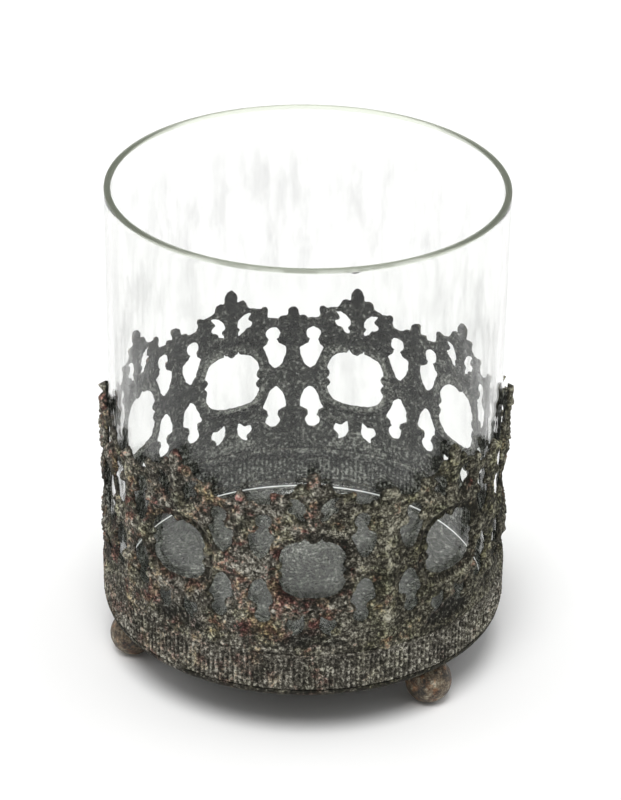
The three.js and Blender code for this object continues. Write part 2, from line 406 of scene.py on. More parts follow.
def new_object(name, vertices_mm, faces):
    mesh = bpy.data.meshes.new(name)
    mesh.from_pydata((np.asarray(vertices_mm, float) * MM).tolist(), [], [list(map(int, f)) for f in faces])
    mesh.validate()
    mesh.update()
    mesh.polygons.foreach_set("use_smooth", np.ones(len(mesh.polygons), bool))
    piece = bpy.data.objects.new(name, mesh)
    bpy.context.scene.collection.objects.link(piece)
    return piece


def store(piece, attribute, values):
    """A number for each vertex, which materials and node trees can read."""
    layer = piece.data.attributes.new(attribute, "FLOAT", "POINT")
    layer.data.foreach_set("value", np.asarray(values, np.float32))


def turned(name, profile_mm, segments, wobble=0.0, wobble_size=3.0, seed=0.0):
    """A body turned about Z from [radius, height], anticlockwise; wobble is a hand-made unevenness."""
    vertices = []
    rings = []
    for radius, height in profile_mm:
        if radius < 1e-6:
            rings.append([len(vertices)])
            vertices.append((0.0, 0.0, height))
            continue
        ring = []
        for step in range(segments):
            angle = 2 * math.pi * step / segments
            ring.append(len(vertices))
            vertices.append((radius * math.sin(angle), -radius * math.cos(angle), height))
        rings.append(ring)
    faces = []
    closed = len(rings[0]) > 1
    pairs = list(zip(rings, rings[1:] + ([rings[0]] if closed else [])))
    for lower, upper in pairs:
        for step in range(segments):
            after = (step + 1) % segments
            if len(lower) == 1:
                faces.append((lower[0], upper[after], upper[step]))
            elif len(upper) == 1:
                faces.append((lower[step], lower[after], upper[0]))
            else:
                faces.append((lower[step], lower[after], upper[after], upper[step]))
    if wobble:
        shift = Vector((seed, seed, seed))
        moved = []
        for x, y, z in vertices:
            lump = noise.fractal(Vector((x, y, z)) / wobble_size + shift, 0.8, 2.0, 3)
            reach = math.hypot(x, y)
            scale = 1 + wobble * lump / max(reach, 5.0)
            moved.append((x * scale, y * scale, z + 0.5 * wobble * lump))
        vertices = moved
    return new_object(name, vertices, faces)


def arc_points(centre, radius, start, end, steps):
    """Points of an arc in a profile, both ends included, in degrees from the outward direction."""
    angles = np.radians(np.linspace(start, end, steps + 1))
    return [(centre[0] + radius * math.cos(a), centre[1] + radius * math.sin(a)) for a in angles]


# ------------------------------------------------------------------ the lace's pattern
# The pattern is drawn flat, in [along, above the waist], for the right half of one motif:
# along runs from the motif's middle to the middle of the column beside it.


def curve_through(points, steps=6):
    """A closed smooth line through points. A third value of 1 makes a point a sharp corner."""
    spots = np.array([p[:2] for p in points], float)
    sharp = np.array([len(p) > 2 for p in points])
    count = len(spots)
    slopes = (np.roll(spots, -1, 0) - np.roll(spots, 1, 0)) / 2
    slopes[sharp] = 0
    line = []
    for i in range(count):
        j = (i + 1) % count
        for t in np.linspace(0, 1, steps, endpoint=False):
            a = 2 * t**3 - 3 * t**2 + 1
            b = t**3 - 2 * t**2 + t
            c = 3 * t**2 - 2 * t**3
            d = t**3 - t**2
            line.append(a * spots[i] + b * slopes[i] + c * spots[j] + d * slopes[j])
    return np.array(line)


def outside_of(line, u, v):
    """Distance from a closed line, positive outside it."""
    start, end = line, np.roll(line, -1, 0)
    nearest = np.full(u.shape, 1e9)
    crossings = np.zeros(u.shape, int)
    for (ax, ay), (bx, by) in zip(start, end):
        dx, dy = bx - ax, by - ay
        length = dx * dx + dy * dy + 1e-12
        t = np.clip(((u - ax) * dx + (v - ay) * dy) / length, 0, 1)
        nearest = np.minimum(nearest, np.hypot(u - ax - t * dx, v - ay - t * dy))
        if ay != by:
            spans = (ay > v) != (by > v)
            meets = ax + (v - ay) * dx / (by - ay) > u
            crossings += spans & meets
    return np.where(crossings % 2 == 1, -nearest, nearest)


def disc(u, v, centre_u, centre_v, radius):
    return radius - np.hypot(u - centre_u, v - centre_v)


def dome(u, v, centre_u, centre_v, radius_u, radius_v, height):
    reach = ((u - centre_u) / radius_u) ** 2 + ((v - centre_v) / radius_v) ** 2
    return height * np.sqrt(np.clip(1 - reach, 0, 1))


def ridge(distance, width, height):
    return height * np.exp(-((distance / width) ** 2))


def rise(low, high, value):
    t = np.clip((value - low) / (high - low), 0, 1)
    return t * t * (3 - 2 * t)


OVAL_WIDE, OVAL_ABOVE, OVAL_BELOW, OVAL_SQUARE = 10.3, 10.2, 9.5, 2.9
OVAL_BOSS = (10.6, 1.8)       # the small knobs at the oval's sides
PEARL_COUNT = 44              # pearls round an oval
KEYHOLE_MIDDLE = 6.8          # from the middle of the column
KEYHOLE_WAIST = 13.3          # height of the two knobs that pinch a keyhole
KEYHOLE_KNOB = 3.15           # from the keyhole's middle to a knob
PATTERN_TOP = 34.5            # just above the finials
OPEN_AIR = 60.0               # well above the crown
FOOT_REACH = 0.25             # how far the sheet reaches down towards the band's shoulder
EDGE_ROUNDING = 0.32

OVAL_NOTCH = [(1.9, 9.4, 1), (3.1, 9.4, 1), (2.45, 12.7, 1)]

UPPER_COMMA = [
    (2.0, 20.0), (3.1, 18.8), (2.2, 17.6), (2.6, 16.4, 1), (4.4, 17.2), (5.3, 18.6),
    (7.0, 19.2), (7.7, 20.8), (6.1, 22.2), (8.1, 24.5, 1), (5.2, 24.3), (2.9, 22.6),
]
LOWER_COMMA = [
    (2.6, -14.9, 1), (2.2, -17.0), (2.2, -19.4), (3.2, -21.2), (4.8, -22.3), (7.0, -23.4, 1),
    (5.7, -21.1), (7.6, -19.1), (6.9, -16.4, 1), (4.7, -16.9),
]
KEYHOLE_BODY = [
    (5.0, 13.8), (4.9, 12.6), (2.1, 11.2, 1), (2.5, 7.8), (3.6, 5.0), (5.7, 3.0, 1),
    (7.7, 4.6), (9.0, 7.6), (10.5, 11.3, 1), (8.7, 12.6), (8.6, 13.8),
]
CROWN_EDGE = [
    (0.0, 33.3), (1.3, 32.6), (2.25, 30.8), (2.1, 29.1), (2.6, 28.6, 1), (3.9, 29.1), (5.3, 28.3),
    (5.8, 26.9), (6.4, 26.1, 1), (8.5, 25.5), (10.4, 25.4), (11.4, 26.0), (12.5, 25.6), (12.8, 24.4),
    (12.5, 23.3), (12.9, 21.8, 1), (14.6, 21.5), (16.6, 21.4, 1), (17.4, 22.2), (18.5, 22.4),
    (19.2, 21.8, 1), (19.6, 22.9), (19.8, 24.1), (20.6, 25.2), (HALF_PITCH, 25.6),
]


def crown_line():
    """The crown edge, closed round the open air above it."""
    half = curve_through(CROWN_EDGE, 6)[: 6 * (len(CROWN_EDGE) - 1) + 1]
    beyond = half[::-1] * [-1, 1] + [2 * HALF_PITCH, 0]
    before = half[::-1] * [-1, 1]
    edge = np.vstack([before, half, beyond])
    return np.vstack([edge, [[edge[-1][0], OPEN_AIR], [edge[0][0], OPEN_AIR]]])


def oval_reach(u, v):
    """How far outside the oval's edge a point lies."""
    tall = np.where(v > 0, OVAL_ABOVE, OVAL_BELOW)
    square = np.abs(u / OVAL_WIDE) ** OVAL_SQUARE + np.abs(v / tall) ** OVAL_SQUARE
    return (square ** (1 / OVAL_SQUARE) - 1) * OVAL_WIDE


def metal(u, v):
    """How deep a point of the pattern lies in metal; negative in the open."""
    high = np.abs(v)
    beside = HALF_PITCH - u
    depth = oval_reach(u, v)
    depth = np.minimum(depth, outside_of(curve_through(OVAL_NOTCH, 1), u, v))
    depth = np.maximum(depth, disc(u, v, 0.0, 10.6, 1.35))
    depth = np.maximum(depth, disc(u, high, *OVAL_BOSS, 1.5))
    depth = np.minimum(depth, -disc(u, high, 0.0, 13.3, 0.42))
    body = outside_of(curve_through(KEYHOLE_BODY), beside, high)
    head = -disc(beside, high, KEYHOLE_MIDDLE, 16.0, 2.6)
    keyhole = np.minimum(body, head)
    for side in (-1, 1):
        knob = KEYHOLE_MIDDLE + side * KEYHOLE_KNOB
        keyhole = np.maximum(keyhole, disc(beside, high, knob, KEYHOLE_WAIST, 1.2))
    depth = np.minimum(depth, keyhole)
    depth = np.minimum(depth, outside_of(curve_through(UPPER_COMMA), u, v))
    depth = np.minimum(depth, outside_of(curve_through(LOWER_COMMA), u, v))
    depth = np.minimum(depth + 0.12, outside_of(crown_line(), u, v))
    return depth


def volute(u, v, centre_u, centre_v, radius, hand, height):
    """A coiled scroll, as on an ironwork leaf."""
    du, dv = (u - centre_u) * hand, v - centre_v
    reach = np.hypot(du, dv)
    turn = np.arctan2(dv, du)
    coil = np.cos(2 * math.pi * reach / 1.35 - turn)
    fade = 1 - rise(radius * 0.75, radius, reach)
    eye = dome(u, v, centre_u, centre_v, 0.8, 0.8, 0.5)
    return fade * (height * (0.55 + 0.45 * coil)) + eye


def relief(u, v, depth):
    """How far the pressed pattern stands out of the sheet."""
    beside = HALF_PITCH - u
    high = np.abs(v)
    reach = oval_reach(u, v)
    turn = np.arctan2(v, u)
    height = np.full(u.shape, 0.15)
    # a bevel sunk round the oval, inside a sharp raised line, with pearls outside that
    height -= 1.05 * (1 - rise(0.6, 3.0, reach))
    height += ridge(reach - 3.45, 0.40, 0.85)
    pearls = np.cos(turn * PEARL_COUNT)
    height += ridge(reach - 4.8, 0.6, 0.35) * (0.6 + 0.4 * pearls) * rise(0.6, 1.4, depth)
    height += dome(u, high, *OVAL_BOSS, 1.5, 1.5, 1.2)
    height += dome(u, v, 0.0, 10.7, 1.4, 1.5, 0.8)
    # the stem up the middle, its finial and the lobes beside it
    stem = rise(13.5, 15.0, high) * (1 - rise(28.0, 29.5, v)) * (1 - rise(17.5, 19.5, -v))
    height += stem * ridge(u, 1.3, 0.75) * (0.8 + 0.2 * np.cos(v * 2.6))
    height += dome(u, v, 0.0, 30.7, 2.1, 2.5, 0.9)
    height += dome(u, v, 0.0, 27.2, 1.7, 1.5, 0.8)
    height += dome(u, v, 4.2, 27.5, 1.6, 1.5, 0.7)
    height += dome(u, v, 11.9, 24.6, 1.15, 1.25, 0.5)
    # scrolls where the leaves curl
    height += volute(u, v, 9.4, 18.1, 2.7, 1, 0.95)
    height += volute(u, -v, 9.6, 18.3, 2.5, 1, 0.85)
    height += volute(u, v, 5.6, 14.6, 1.6, -1, 0.6)
    height += dome(u, v, 9.6, 22.9, 2.2, 1.1, 0.6)
    # the column between motifs: spine, finial, rosette at the waist and its arms
    height += ridge(beside, 1.25, 0.7) * (0.75 + 0.25 * np.cos(high * 2.1)) * rise(3.2, 4.5, high)
    height += dome(beside, v, 0.0, 23.9, 1.65, 1.75, 1.0)
    height += dome(beside, v, 3.1, 21.3, 1.15, 1.1, 0.75)
    height += dome(beside, high, 0.0, 17.6, 2.6, 2.2, 0.7)
    for side in (-1, 1):
        knob = KEYHOLE_MIDDLE + side * KEYHOLE_KNOB
        height += dome(beside, high, knob, KEYHOLE_WAIST, 1.25, 1.25, 0.95)
    rosette = np.hypot(beside, v)
    petals = 0.85 + 0.25 * np.cos(6 * np.arctan2(v, beside))
    height += dome(beside, v, 0.0, 0.0, 2.9, 2.9, 0.95) * petals * rise(0.7, 1.1, rosette)
    height += dome(beside, v, 0.0, 0.0, 1.0, 1.0, 1.2)
    height += ridge(v, 1.1, 0.65) * rise(2.6, 3.2, beside) * (1 - rise(6.8, 7.8, beside))
    # a raised line inside the crown edge, a shallow arched panel below the oval, and the foot moulding
    inside_crown = np.abs(outside_of(crown_line(), u, v))
    height += ridge(inside_crown - 1.0, 0.5, 0.35) * rise(20.0, 21.0, v)
    height -= 0.75 * panel(u, v)
    height += ridge(panel_reach(u, v) - 12.3, 0.45, 0.5) * rise(-26.0, -24.5, v)
    height += ridge(v + 27.6, 0.7, 0.3)
    return height


def panel_reach(u, v):
    """Distance from the centre that the arched panel under each oval is struck from."""
    return np.hypot(u, (v + 30.5) * 0.98)


def panel(u, v):
    """1 in the smooth arched panel under each oval."""
    return (1 - rise(9.6, 11.6, panel_reach(u, v))) * rise(-26.6, -25.6, v)


def sheet_tile(name, width, columns, metal_at, relief_at):
    """A closed flat tile of pressed sheet, open only where it meets its neighbours.

    The outline runs where metal_at(along, above) passes through 0; relief_at gives the height."""
    step = width / columns
    low, high = LACE_FOOT - FOOT_REACH - WAIST, PATTERN_TOP
    rows = int(math.ceil((high - low) / ROW_STEP)) + 1
    sample_u = -width / 2 + (np.arange(columns + 2) - 0.5) * step
    sample_v = low + (np.arange(rows + 1) - 0.5) * ROW_STEP
    grid_u, grid_v = np.meshgrid(sample_u, sample_v, indexing="ij")
    depth = np.minimum(metal_at(grid_u, grid_v), grid_v - low)
    # one point for every cell of four samples: on the outline where the outline cuts the cell
    point_u = np.repeat((sample_u[:-1] + step / 2)[:, None], rows, 1)
    point_v = np.repeat((sample_v[:-1] + ROW_STEP / 2)[None, :], columns + 1, 0)
    total_u, total_v, cuts = (np.zeros(point_u.shape) for _ in range(3))
    corners = [(slice(0, -1), slice(0, -1)), (slice(1, None), slice(0, -1)),
               (slice(1, None), slice(1, None)), (slice(0, -1), slice(1, None))]
    for first, second in zip(corners, corners[1:] + corners[:1]):
        a, b = depth[first], depth[second]
        cut = (a > 0) != (b > 0)
        share = np.where(cut, a / np.where(cut, a - b, 1), 0)
        total_u += np.where(cut, grid_u[first] + share * (grid_u[second] - grid_u[first]), 0)
        total_v += np.where(cut, grid_v[first] + share * (grid_v[second] - grid_v[first]), 0)
        cuts += cut
    mixed = cuts > 0
    point_u = np.where(mixed, total_u / np.maximum(cuts, 1), point_u)
    point_v = np.where(mixed, total_v / np.maximum(cuts, 1), point_v)
    point_u[0, :], point_u[-1, :] = -width / 2, width / 2
    inside = depth > 0
    # where only two cells that touch at a corner are metal, a third joins them
    inside[:-1, :-1] |= inside[1:, :-1] & inside[:-1, 1:] & ~inside[1:, 1:]
    inside[1:, :-1] |= inside[:-1, :-1] & inside[1:, 1:] & ~inside[:-1, 1:]
    quads = []
    for i in range(1, columns + 1):
        for j in range(1, rows):
            if inside[i, j]:
                quads.append(((i - 1, j - 1), (i, j - 1), (i, j), (i - 1, j)))
    used = sorted({corner for quad in quads for corner in quad})
    number = {corner: index for index, corner in enumerate(used)}
    u = np.array([point_u[c] for c in used])
    v = np.array([point_v[c] for c in used])
    # two tiles read the metal half a step in from where they meet, so that their edges match
    side = (width - ROW_STEP) / 2
    at_edge = metal_at(np.clip(u, -side, side), v)
    height = relief_at(u, v)
    rounding = EDGE_ROUNDING * (1 - rise(0.0, 0.7, at_edge))
    pressed = height * rise(-0.3, 0.8, at_edge)
    front = pressed - rounding
    back = pressed * 0.8 - LACE_THICKNESS + rounding * 0.6
    count = len(used)
    vertices = np.vstack([np.c_[u, v, front], np.c_[u, v, back]])
    faces = [tuple(number[c] for c in quad) for quad in quads]
    sides = {}
    for face in faces:
        for a, b in zip(face, face[1:] + face[:1]):
            if (b, a) in sides:
                del sides[(b, a)]
            else:
                sides[(a, b)] = True
    joined = np.abs(np.abs(u) - width / 2) < 1e-6
    walls = [(b, a, a + count, b + count) for a, b in sides if not (joined[a] and joined[b])]
    backs = [tuple(i + count for i in reversed(face)) for face in faces]
    piece = new_object(name, vertices, faces + backs + walls)
    # 'raised' is paler on the pressed-out relief and darker near cut edges and in hollows: on the front
    # partly the dry-brushed finish, partly painted shade; on the back it carries painted shade in the hollows
    # and painted highlight on the ridges
    raised = 0.15 + 0.75 * pressed - 0.30 * (1 - rise(0.0, 0.8, at_edge))
    store(piece, "raised", np.concatenate([raised, 0.3 - 0.5 * pressed]))
    smooth = 0.55 * panel(np.abs(u), v) * (width > 10)
    store(piece, "inner", np.concatenate([smooth, np.full(count, 1.0)]))
    return piece


def folded(u):
    """Any place along the strip, as a place in the right half of its motif."""
    u = np.abs(u)
    return np.where(u > HALF_PITCH, 2 * HALF_PITCH - u, u)


def motif_metal(u, v):
    return metal(folded(u), v)


def motif_relief(u, v):
    u = folded(u)
    return relief(u, v, metal(u, v))


def seam_metal(u, v):
    """Between the two half columns at the seam the pattern runs on unchanged."""
    return metal(np.full(np.shape(u), HALF_PITCH - ROW_STEP / 2), v)


def seam_relief(u, v):
    """The strip's end lies over its beginning there, up to the upper scrolls."""
    middle = np.full(np.shape(u), HALF_PITCH)
    across = u / SEAM_GAP + 0.5
    lap = rise(0.02, 0.14, across) * (1 - rise(0.35, 1.0, across)) * (1 - rise(15.0, 17.0, v))
    return relief(middle, v, metal(middle, v)) + 0.75 * lap


# ------------------------------------------------------------------ repeats, by geometry nodes


def tree_with(name, inputs):
    """A new geometry tree with named inputs, and the graph and wires to use them."""
    tree = bpy.data.node_groups.new(name, "GeometryNodeTree")
    tree.interface.new_socket("Geometry", in_out="INPUT", socket_type="NodeSocketGeometry")
    tree.interface.new_socket("Geometry", in_out="OUTPUT", socket_type="NodeSocketGeometry")
    for label, kind in inputs:
        tree.interface.new_socket(label, in_out="INPUT", socket_type="NodeSocket" + kind)
    graph = Graph(tree)
    group_in = graph.add("NodeGroupInput", out=None)
    wires = {label: Wire(graph, group_in.outputs[label]) for label, _ in inputs}
    return tree, graph, wires


def end_tree(graph, geometry, material):
    """Every tree ends in real, smooth, finished mesh."""
    real = graph.add("GeometryNodeRealizeInstances", None, {"Geometry": geometry})
    smooth = graph.add("GeometryNodeSetShadeSmooth", None, {"Geometry": real})
    finished = graph.add("GeometryNodeSetMaterial", None, {"Geometry": smooth, "Material": material})
    graph.add("NodeGroupOutput", None, {"Geometry": finished}, out=None)


def lumps(graph, geometry, size, depth, seed):
    """Moves the surface in and out a little, unevenly, as cast and painted metal is."""
    where = graph.add("GeometryNodeInputPosition")
    out = graph.add("GeometryNodeInputNormal")
    sockets = {"Vector": where, "W": seed, "Scale": 1.0 / size, "Detail": 3.0, "Roughness": 0.6}
    field = graph.add("ShaderNodeTexNoise", {"noise_dimensions": "4D"}, sockets)
    amount = (field - 0.5) * 2.0 * depth
    shift = graph.add("ShaderNodeVectorMath", {"operation": "SCALE"}, {0: out, "Scale": amount})
    return graph.add("GeometryNodeSetPosition", None, {"Geometry": geometry, "Offset": shift})


def rolled(graph, geometry, radius, first_angle, foot):
    """Bends flat work in X and Y, standing out in Z, on to a cylinder about the Z axis."""
    where = graph.add("GeometryNodeInputPosition")
    along, above, out = graph.axes(where)
    turn = along / radius + first_angle
    reach = out + radius
    place = graph.add("ShaderNodeCombineXYZ", None, {
        "X": turn.sine() * reach,
        "Y": turn.cosine() * reach * -1.0,
        "Z": above + foot,
    })
    return graph.add("GeometryNodeSetPosition", None, {"Geometry": geometry, "Position": place})


def row_of(graph, unit, count, pitch):
    """count copies of an object in a row along X, pitch apart."""
    step = graph.add("ShaderNodeCombineXYZ", None, {"X": pitch})
    points = graph.add("GeometryNodeMeshLine", {"mode": "OFFSET"}, {"Count": count, "Offset": step})
    source = graph.add("GeometryNodeObjectInfo", None, {"Object": unit}, out="Geometry")
    copies = graph.add("GeometryNodeInstanceOnPoints", None, {"Points": points, "Instance": source})
    return graph.add("GeometryNodeRealizeInstances", None, {"Geometry": copies})


def lace_tree():
    tree, graph, wires = tree_with("lace rolled into a ring", [
        ("Motif", "Object"), ("Seam", "Object"), ("Count", "Int"), ("Pitch", "Float"),
        ("Seam Width", "Float"), ("Radius", "Float"), ("First Angle", "Float"), ("Waist", "Float"),
        ("Lump Size", "Float"), ("Lump Depth", "Float"), ("Seed", "Float"), ("Finish", "Material"),
    ])
    motifs = row_of(graph, wires["Motif"], wires["Count"], wires["Pitch"])
    seam = graph.add("GeometryNodeObjectInfo", None, {"Object": wires["Seam"]}, out="Geometry")
    before = (wires["Pitch"] + wires["Seam Width"]) * -0.5
    seam_place = graph.add("ShaderNodeCombineXYZ", None, {"X": before})
    seam = graph.add("GeometryNodeTransform", None, {"Geometry": seam, "Translation": seam_place})
    joined = graph.add("GeometryNodeJoinGeometry", out=None)
    for part in (motifs, seam):
        graph.tree.links.new(part.socket, joined.inputs[0])
    strip = Wire(graph, joined.outputs[0])
    ring = rolled(graph, strip, wires["Radius"], wires["First Angle"], wires["Waist"])
    whole = graph.add("GeometryNodeMergeByDistance", None, {"Geometry": ring, "Distance": MERGE_REACH})
    uneven = lumps(graph, whole, wires["Lump Size"], wires["Lump Depth"], wires["Seed"])
    end_tree(graph, uneven, wires["Finish"])
    return tree


def rib_tree():
    tree, graph, wires = tree_with("ribs round the foot", [
        ("Rib", "Object"), ("Count", "Int"), ("Pitch", "Float"), ("Radius", "Float"), ("Foot", "Float"),
        ("Lump Size", "Float"), ("Lump Depth", "Float"), ("Seed", "Float"), ("Finish", "Material"),
    ])
    ribs = row_of(graph, wires["Rib"], wires["Count"], wires["Pitch"])
    ring = rolled(graph, ribs, wires["Radius"], 0.0, wires["Foot"])
    whole = graph.add("GeometryNodeMergeByDistance", None, {"Geometry": ring, "Distance": MERGE_REACH})
    uneven = lumps(graph, whole, wires["Lump Size"], wires["Lump Depth"], wires["Seed"])
    end_tree(graph, uneven, wires["Finish"])
    return tree


def grown(name, tree, values, helpers=()):
    """Runs a tree and keeps its result as a plain mesh; the helper objects go."""
    holder = new_object(name + "_source", [(0, 0, 0)], [])
    modifier = holder.modifiers.new("grow", "NODES")
    modifier.node_group = tree
    for item in tree.interface.items_tree:
        if item.item_type == "SOCKET" and item.in_out == "INPUT" and item.name in values:
            modifier[item.identifier] = values[item.name]
    bpy.context.view_layer.update()
    depsgraph = bpy.context.evaluated_depsgraph_get()
    mesh = bpy.data.meshes.new_from_object(holder.evaluated_get(depsgraph), depsgraph=depsgraph)
    mesh.name = name
    holder.modifiers.remove(modifier)
    piece = bpy.data.objects.new(name, mesh)
    bpy.context.scene.collection.objects.link(piece)
    for spare in (holder, *helpers):
        bpy.data.objects.remove(spare)
    return piece


# ------------------------------------------------------------------ pieces


def make_lace(finish):
    motif = sheet_tile("motif", 2 * HALF_PITCH, MOTIF_COLUMNS, motif_metal, motif_relief)
    seam = sheet_tile("seam", SEAM_GAP, SEAM_COLUMNS, seam_metal, seam_relief)
    values = {
        "Motif": motif, "Seam": seam, "Count": MOTIF_COUNT, "Pitch": 2 * HALF_PITCH * MM,
        "Seam Width": SEAM_GAP * MM, "Radius": WALL_RADIUS * MM,
        "First Angle": math.radians(FIRST_MOTIF), "Waist": WAIST * MM,
        "Lump Size": 2.0 * MM, "Lump Depth": 0.70 * MM, "Seed": 3.0, "Finish": finish,
    }
    return grown("lace_sheet", lace_tree(), values, (motif, seam))


def rib_unit():
    """One flute of the ribbed band, with its set-in top edge, as flat work."""
    pitch = 2 * math.pi * WALL_RADIUS / RIB_COUNT
    across = np.linspace(-pitch / 2, pitch / 2, RIB_COLUMNS)
    shoulder = LACE_FOOT - 0.3 - BAND_FOOT
    top = BAND_TOP - BAND_FOOT
    outer = BAND_OUTER + 0.1 - WALL_RADIUS
    inner = outer - 1.0
    # [height, standing out, how strong the flute is, which face], up the outside and down the inside
    outline = [(0.0, outer - 0.55, 0.0, 0), (0.1, outer - 0.2, 0.2, 0)]
    for height in np.linspace(0.5, shoulder - 0.4, RIB_ROWS):
        strength = rise(-0.6, 0.9, height) * (1 - rise(shoulder - 1.6, shoulder - 0.5, height))
        outline.append((height, outer, strength, 0))
    outline += [(shoulder - 0.05, outer - 0.25, 0.0, 0), (shoulder + 0.1, outer - 1.25, 0.0, 0)]
    outline += [(top - 0.15, outer - 1.30, 0.0, 0), (top, outer - 1.45, 0.0, 0)]
    outline += [(top, outer - 1.75, 0.0, 1), (top - 0.2, outer - 1.90, 0.0, 1)]
    outline += [(shoulder - 0.3, outer - 1.90, 0.0, 1)]
    for height in np.linspace(shoulder - 0.9, 0.6, RIB_ROWS):
        strength = rise(0.0, 1.2, height) * (1 - rise(shoulder - 1.8, shoulder - 0.9, height))
        outline.append((height, inner, strength, 1))
    outline += [(0.1, inner + 0.2, 0.0, 1)]
    vertices, raised, face = [], [], []
    for height, out, strength, side in outline:
        for x in across:
            crest = math.cos(2 * math.pi * x / pitch)
            sunk = (RIB_DEPTH_OUTSIDE if side == 0 else RIB_DEPTH_INSIDE) * strength * (1 - crest)
            vertices.append((x, height, out - sunk))
            # outside, paler crests and darker grooves, partly dry-brushed finish and partly painted shade;
            # inside, painted shade in the flute hollows and painted highlight on the ridges
            raised.append(0.45 + 0.42 * strength * crest if side == 0 else 0.3 - 0.3 * strength * crest)
            face.append(side)
    wide, tall = len(across), len(outline)
    faces = []
    for j in range(tall):
        k = (j + 1) % tall
        for i in range(wide - 1):
            faces.append((j * wide + i, j * wide + i + 1, k * wide + i + 1, k * wide + i))
    unit = new_object("rib", vertices, faces)
    store(unit, "raised", raised)
    store(unit, "inner", face)
    return unit, pitch


def make_ribbed_band(finish):
    unit, pitch = rib_unit()
    values = {
        "Rib": unit, "Count": RIB_COUNT, "Pitch": pitch * MM, "Radius": WALL_RADIUS * MM,
        "Foot": BAND_FOOT * MM, "Lump Size": 1.6 * MM, "Lump Depth": 0.45 * MM, "Seed": 7.0,
        "Finish": finish,
    }
    return grown("ribbed_strip", rib_tree(), values, (unit,))


def make_pan(finish):
    heel, floor = PAN_HEEL, PAN_UNDERSIDE + PAN_SHEET
    outer_flange, inner_flange = PAN_RADIUS - 1.1, PAN_RADIUS - 2.0
    profile = [(0, PAN_UNDERSIDE)]
    profile += [(r, PAN_UNDERSIDE) for r in np.linspace(4, PAN_RADIUS - heel - 1, 28)]
    profile += arc_points((PAN_RADIUS - heel, PAN_UNDERSIDE + heel), heel, -90, 0, 8)
    profile += [(PAN_RADIUS, PAN_UNDERSIDE + heel + 0.2), (outer_flange, PAN_UNDERSIDE + heel + 0.25)]
    profile += [(outer_flange, PAN_TOP - 0.2), (outer_flange - 0.25, PAN_TOP), (inner_flange + 0.25, PAN_TOP)]
    profile += [(inner_flange, PAN_TOP - 0.2)]
    profile += arc_points((inner_flange - 1.4, floor + 1.4), 1.4, 0, -90, 5)
    profile += [(r, floor) for r in np.linspace(PAN_RADIUS - 5, 4, 28)]
    profile += [(0, floor)]
    piece = turned("pressed_pan", profile, TURNED_SIDES, wobble=0.10, wobble_size=2.5, seed=5.0)
    piece.data.materials.append(finish)
    return piece


def make_glass(finish):
    heel, corner, floor = GLASS_HEEL, GLASS_CORNER, GLASS_FLOOR
    inner = GLASS_RADIUS - GLASS_WALL
    rim = GLASS_WALL / 2
    profile = [(0, GLASS_FOOT + 0.6)]
    profile += [(r, GLASS_FOOT + 0.6) for r in np.linspace(8, GLASS_RADIUS - heel - 6, 8)]
    profile += [(GLASS_RADIUS - heel - 3, GLASS_FOOT + 0.35), (GLASS_RADIUS - heel - 1.2, GLASS_FOOT + 0.06)]
    profile += arc_points((GLASS_RADIUS - heel, GLASS_FOOT + heel), heel, -90, 0, 8)
    profile += [(GLASS_RADIUS, h) for h in np.linspace(GLASS_FOOT + heel + 4, GLASS_RIM - rim - 2, 24)]
    profile += arc_points((GLASS_RADIUS - rim, GLASS_RIM - rim), rim, 0, 180, 10)
    profile += [(inner, h) for h in np.linspace(GLASS_RIM - rim - 2, floor + corner + 3, 24)]
    profile += arc_points((inner - corner, floor + corner), corner, 0, -90, 6)
    profile += [(r, floor) for r in np.linspace(inner - corner - 4, 8, 8)]
    profile += [(0, floor)]
    piece = turned("blown_glass", profile, TURNED_SIDES)
    piece.data.materials.append(finish)
    return piece


def make_glass_line(finish):
    """A fine milky-white ring where the glass's floor meets its wall: a painted highlight standing in for the
    bright line of light in that corner.
    """
    radius, thick = GLASS_RADIUS - (GLASS_WALL + GLASS_CORNER), 0.2
    profile = arc_points((radius, GLASS_FLOOR + thick * 0.7), thick, 0, 360, 8)[:-1]
    piece = turned("frosted_line", profile, TURNED_SIDES)
    piece.data.materials.append(finish)
    return piece


def make_ball(number, finish):
    """A ball foot with small dents, standing on a worn flat."""
    low, high = low_mm(f"ball_foot_{number}"), high_mm(f"ball_foot_{number}")
    middle = [(a + b) / 2 for a, b in zip(low, high)]
    radius = (high[0] - low[0]) / 2
    centre = high[2] - radius
    flat = math.sqrt(radius**2 - centre**2)
    start = -math.degrees(math.acos(flat / radius))
    profile = [(0, 0), (flat * 0.5, 0)]
    profile += arc_points((0, centre), radius, start, 90, 34)[:-1]
    profile += [(0, centre + radius)]
    piece = turned(f"ball_{number}", profile, 64)
    for vertex in piece.data.vertices:
        spot = vertex.co / MM
        out = Vector((spot.x, spot.y, spot.z - centre)).normalized()
        dent = noise.fractal(spot / 3.2 + Vector((number * 9.0, 0, 0)), 0.8, 2.0, 3)
        free = min(1.0, max(0.0, (spot.z - 0.15) / 1.5))
        spot += out * (BALL_DENT * dent * free - BALL_INSET)
        vertex.co = Vector((spot.x + middle[0], spot.y + middle[1], max(spot.z, 0.0))) * MM
    piece.data.materials.append(finish)
    return piece


